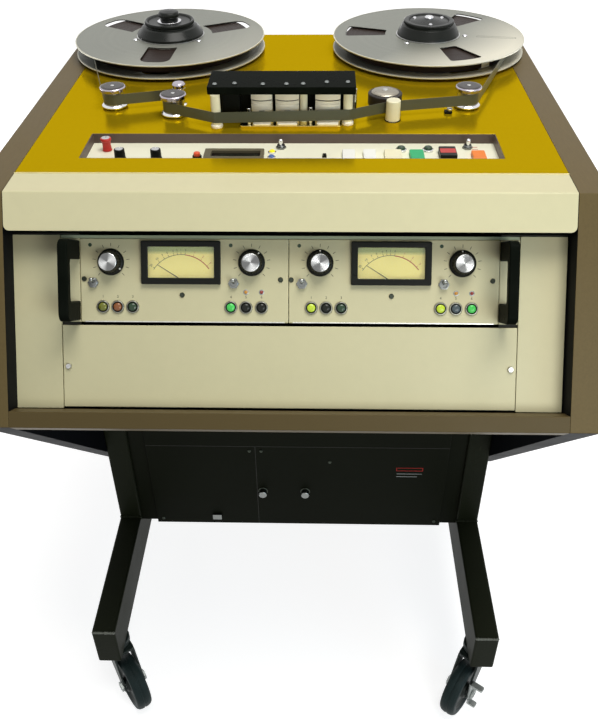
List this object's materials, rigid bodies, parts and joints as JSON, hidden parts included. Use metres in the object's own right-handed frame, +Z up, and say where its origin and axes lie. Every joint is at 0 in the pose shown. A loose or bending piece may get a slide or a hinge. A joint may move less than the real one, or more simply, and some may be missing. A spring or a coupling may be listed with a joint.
{
  "type": "reel-to-reel tape recorder",
  "caption": "Studio reel-to-reel tape recorder in a wheeled console: tilted meter panel, sunk transport controls, reels, heads, casters.",
  "frame": {"origin": "on the floor, at the centre of the bounding box", "axes": "+X to the user's right, +Y from the sloped front to the back, +Z up"},
  "size_m": [0.648, 0.7104, 0.9002],
  "materials": {
    "board_laminate": "satin laminate",
    "frame_taupe": "satin paint",
    "cream_paint": "satin paint",
    "gold_paint": "gloss paint",
    "pan_paint": "satin paint",
    "black_paint": "satin paint",
    "stand_paint": "satin paint",
    "black_plastic": "matte",
    "red_plastic": "gloss",
    "white_plastic": "gloss",
    "cream_plastic": "gloss",
    "green_plastic": "gloss",
    "orange_plastic": "gloss",
    "reel_aluminium": "satin",
    "chrome": "polished",
    "steel": "turned",
    "motor_steel": "plain",
    "head_metal": "lapped",
    "needle_metal": "matt black",
    "ceramic": "glazed",
    "tape_brown": "satin",
    "roller_rubber": "matte",
    "tyre_rubber": "matte"
  },
  "bodies": {
    "console": {"side_panels": "board_laminate", "cabinet_rails": "frame_taupe", "rear_panel": "frame_taupe", "nose_panel": "cream_paint", "deck_plate": "gold_paint", "control_well": "pan_paint", "electronics_panel": "cream_paint", "meter_cases": "black_plastic", "blank_panel": "cream_paint", "rack_handles": "black_paint", "tape_guides": "chrome", "tape_run": "tape_brown", "head_block": "head_metal", "head_cover": "black_paint", "drive_motors": "motor_steel", "stand_frames": "stand_paint", "power_chassis": "stand_paint"},
    "supply_spool": {"supply_turntable": "steel", "supply_reel": "reel_aluminium", "supply_tape": "tape_brown"},
    "supply_lock": {"supply_hub_lock": "black_paint"},
    "takeup_spool": {"takeup_turntable": "steel", "takeup_reel": "reel_aluminium", "takeup_tape": "tape_brown"},
    "takeup_lock": {"takeup_hub_lock": "black_paint"},
    "supply_roller": {"supply_roller": "steel"},
    "timer_roller": {"timer_roller": "steel"},
    "takeup_roller": {"takeup_roller": "steel"},
    "capstan": {"capstan": "ceramic"},
    "pinch_arm": {"pinch_arm": "steel"},
    "pinch_roller": {"pinch_roller": "roller_rubber"},
    "tape_lifters": {"tape_lifters": "steel"},
    "channel_1_left_knob": {"channel_1_left_knob": "black_plastic"},
    "channel_1_right_knob": {"channel_1_right_knob": "black_plastic"},
    "channel_1_needle": {"channel_1_needle": "needle_metal"},
    "channel_2_left_knob": {"channel_2_left_knob": "black_plastic"},
    "channel_2_right_knob": {"channel_2_right_knob": "black_plastic"},
    "channel_2_needle": {"channel_2_needle": "needle_metal"},
    "channel_switches": {"channel_switches": "chrome"},
    "channel_buttons": {"channel_buttons": "black_plastic"},
    "power_knob": {"power_knob": "red_plastic"},
    "speed_knob": {"speed_knob": "black_plastic"},
    "size_knob": {"size_knob": "black_plastic"},
    "reset_button": {"reset_button": "red_plastic"},
    "cream_button": {"cream_button": "cream_plastic"},
    "play_button": {"play_button": "green_plastic"},
    "record_button": {"record_button": "black_plastic"},
    "stop_button": {"stop_button": "orange_plastic"},
    "wind_buttons": {"wind_buttons": "white_plastic"},
    "mode_switch": {"mode_switch": "black_plastic"},
    "deck_switches": {"deck_switches": "chrome"},
    "fork_front_left": {"caster_fork_front_left": "steel"},
    "wheel_front_left": {"caster_wheel_front_left": "tyre_rubber"},
    "fork_front_right": {"caster_fork_front_right": "steel"},
    "wheel_front_right": {"caster_wheel_front_right": "tyre_rubber"},
    "brake_lever": {"brake_lever": "steel"},
    "fork_rear_left": {"caster_fork_rear_left": "steel"},
    "wheel_rear_left": {"caster_wheel_rear_left": "tyre_rubber"},
    "fork_rear_right": {"caster_fork_rear_right": "steel"},
    "wheel_rear_right": {"caster_wheel_rear_right": "tyre_rubber"}
  },
  "joints": [
    {"name": "supply_spin", "type": "hinge", "parent": "console", "child": "supply_spool", "pos_m": [-0.1824, 0.22183, 0.845], "axis": [0, 0, 1], "continuous": true},
    {"name": "supply_lock_turn", "type": "hinge", "parent": "supply_spool", "child": "supply_lock", "pos_m": [-0.1824, 0.22183, 0.875], "axis": [0, 0, 1], "range_deg": [0, 50]},
    {"name": "takeup_spin", "type": "hinge", "parent": "console", "child": "takeup_spool", "pos_m": [0.1824, 0.22183, 0.845], "axis": [0, 0, 1], "continuous": true},
    {"name": "takeup_lock_turn", "type": "hinge", "parent": "takeup_spool", "child": "takeup_lock", "pos_m": [0.1824, 0.22183, 0.875], "axis": [0, 0, 1], "range_deg": [0, 50]},
    {"name": "supply_roller_spin", "type": "hinge", "parent": "console", "child": "supply_roller", "pos_m": [-0.2215, 0.00483, 0.857], "axis": [0, 0, 1], "continuous": true},
    {"name": "timer_roller_spin", "type": "hinge", "parent": "console", "child": "timer_roller", "pos_m": [-0.144, -0.02067, 0.857], "axis": [0, 0, 1], "continuous": true},
    {"name": "takeup_roller_spin", "type": "hinge", "parent": "console", "child": "takeup_roller", "pos_m": [0.2105, 0.00533, 0.857], "axis": [0, 0, 1], "continuous": true},
    {"name": "capstan_spin", "type": "hinge", "parent": "console", "child": "capstan", "pos_m": [0.1174, -0.03667, 0.845], "axis": [0, 0, 1], "continuous": true},
    {"name": "pinch_swing", "type": "hinge", "parent": "console", "child": "pinch_arm", "pos_m": [0.1506, -0.01457, 0.835], "axis": [0, 0, 1], "range_deg": [0, 14.4], "stiffness_Nm_per_rad": 0.2, "springref_deg": -5.73},
    {"name": "pinch_spin", "type": "hinge", "parent": "pinch_arm", "child": "pinch_roller", "pos_m": [0.11, 0.00233, 0.857], "axis": [0, 0, 1], "continuous": true},
    {"name": "lifter_slide", "type": "slide", "parent": "console", "child": "tape_lifters", "axis": [0, 1, 0], "range_m": [0, 0.005]},
    {"name": "channel_1_left_knob_turn", "type": "hinge", "parent": "console", "child": "channel_1_left_knob", "pos_m": [-0.188, -0.23988, 0.77062], "axis": [0, -0.8478, 0.5304], "range_deg": [-25, 275]},
    {"name": "channel_1_right_knob_turn", "type": "hinge", "parent": "console", "child": "channel_1_right_knob", "pos_m": [-0.039, -0.23988, 0.77062], "axis": [0, -0.8478, 0.5304], "range_deg": [-112, 188]},
    {"name": "channel_1_needle_swing", "type": "hinge", "parent": "console", "child": "channel_1_needle", "pos_m": [-0.11345, -0.248, 0.75387], "axis": [0, -0.8478, 0.5304], "range_deg": [-100, 0], "stiffness_Nm_per_rad": 0.0001, "springref_deg": 45.84},
    {"name": "channel_2_left_knob_turn", "type": "hinge", "parent": "console", "child": "channel_2_left_knob", "pos_m": [0.033, -0.23988, 0.77062], "axis": [0, -0.8478, 0.5304], "range_deg": [-150, 150]},
    {"name": "channel_2_right_knob_turn", "type": "hinge", "parent": "console", "child": "channel_2_right_knob", "pos_m": [0.182, -0.23988, 0.77062], "axis": [0, -0.8478, 0.5304], "range_deg": [-154, 146]},
    {"name": "channel_2_needle_swing", "type": "hinge", "parent": "console", "child": "channel_2_needle", "pos_m": [0.10755, -0.248, 0.75387], "axis": [0, -0.8478, 0.5304], "range_deg": [-100, 0], "stiffness_Nm_per_rad": 0.0001, "springref_deg": 45.84},
    {"name": "channel_switch_flip", "type": "hinge", "parent": "console", "child": "channel_switches", "pos_m": [0, -0.24805, 0.75001], "axis": [1, 0, 0], "range_deg": [0, 24]},
    {"name": "channel_button_press", "type": "slide", "parent": "console", "child": "channel_buttons", "axis": [0, 0.8478, -0.5304], "range_m": [0, 0.002], "stiffness_N_per_m": 300, "springref_m": -0.002},
    {"name": "power_knob_turn", "type": "hinge", "parent": "console", "child": "power_knob", "pos_m": [-0.2115, -0.09867, 0.837], "axis": [0, 0, 1], "range_deg": [-90, 0]},
    {"name": "speed_knob_turn", "type": "hinge", "parent": "console", "child": "speed_knob", "pos_m": [-0.1915, -0.12417, 0.837], "axis": [0, 0, 1], "range_deg": [-45, 45]},
    {"name": "size_knob_turn", "type": "hinge", "parent": "console", "child": "size_knob", "pos_m": [-0.151, -0.12417, 0.837], "axis": [0, 0, 1], "range_deg": [-45, 45]},
    {"name": "reset_button_press", "type": "slide", "parent": "console", "child": "reset_button", "axis": [0, 0, -1], "range_m": [0, 0.002], "stiffness_N_per_m": 200, "springref_m": -0.002},
    {"name": "cream_button_press", "type": "slide", "parent": "console", "child": "cream_button", "axis": [0, 0, -1], "range_m": [0, 0.0025], "stiffness_N_per_m": 200, "springref_m": -0.002},
    {"name": "play_button_press", "type": "slide", "parent": "console", "child": "play_button", "axis": [0, 0, -1], "range_m": [0, 0.0025], "stiffness_N_per_m": 200, "springref_m": -0.002},
    {"name": "record_button_press", "type": "slide", "parent": "console", "child": "record_button", "axis": [0, 0, -1], "range_m": [0, 0.0025], "stiffness_N_per_m": 200, "springref_m": -0.002},
    {"name": "stop_button_press", "type": "slide", "parent": "console", "child": "stop_button", "axis": [0, 0, -1], "range_m": [0, 0.0025], "stiffness_N_per_m": 200, "springref_m": -0.002},
    {"name": "wind_buttons_press", "type": "slide", "parent": "console", "child": "wind_buttons", "axis": [0, 0, -1], "range_m": [0, 0.0025], "stiffness_N_per_m": 200, "springref_m": -0.002},
    {"name": "mode_switch_slide", "type": "slide", "parent": "console", "child": "mode_switch", "axis": [0, 1, 0], "range_m": [0, 0.005]},
    {"name": "deck_switch_flip", "type": "hinge", "parent": "console", "child": "deck_switches", "pos_m": [0, -0.09167, 0.8295], "axis": [1, 0, 0], "range_deg": [-24, 0]},
    {"name": "swivel_front_left", "type": "hinge", "parent": "console", "child": "fork_front_left", "pos_m": [-0.275, -0.25567, 0.115], "axis": [0, 0, 1], "continuous": true},
    {"name": "roll_front_left", "type": "hinge", "parent": "fork_front_left", "child": "wheel_front_left", "pos_m": [-0.25266, -0.28641, 0.0445], "axis": [0.809, 0.5878, 0], "continuous": true},
    {"name": "swivel_front_right", "type": "hinge", "parent": "console", "child": "fork_front_right", "pos_m": [0.275, -0.25567, 0.115], "axis": [0, 0, 1], "continuous": true},
    {"name": "roll_front_right", "type": "hinge", "parent": "fork_front_right", "child": "wheel_front_right", "pos_m": [0.25266, -0.28641, 0.0445], "axis": [0.809, -0.5878, 0], "continuous": true},
    {"name": "brake_flip", "type": "hinge", "parent": "fork_front_right", "child": "brake_lever", "pos_m": [0.25266, -0.28641, 0.0445], "axis": [0.809, -0.5878, 0], "range_deg": [0, 22]},
    {"name": "swivel_rear_left", "type": "hinge", "parent": "console", "child": "fork_rear_left", "pos_m": [-0.275, 0.25233, 0.115], "axis": [0, 0, 1], "continuous": true},
    {"name": "roll_rear_left", "type": "hinge", "parent": "fork_rear_left", "child": "wheel_rear_left", "pos_m": [-0.25954, 0.21762, 0.0445], "axis": [0.9135, 0.4067, 0], "continuous": true},
    {"name": "swivel_rear_right", "type": "hinge", "parent": "console", "child": "fork_rear_right", "pos_m": [0.275, 0.25233, 0.115], "axis": [0, 0, 1], "continuous": true},
    {"name": "roll_rear_right", "type": "hinge", "parent": "fork_rear_right", "child": "wheel_rear_right", "pos_m": [0.26326, 0.21619, 0.0445], "axis": [0.9511, -0.309, 0], "continuous": true}
  ]
}
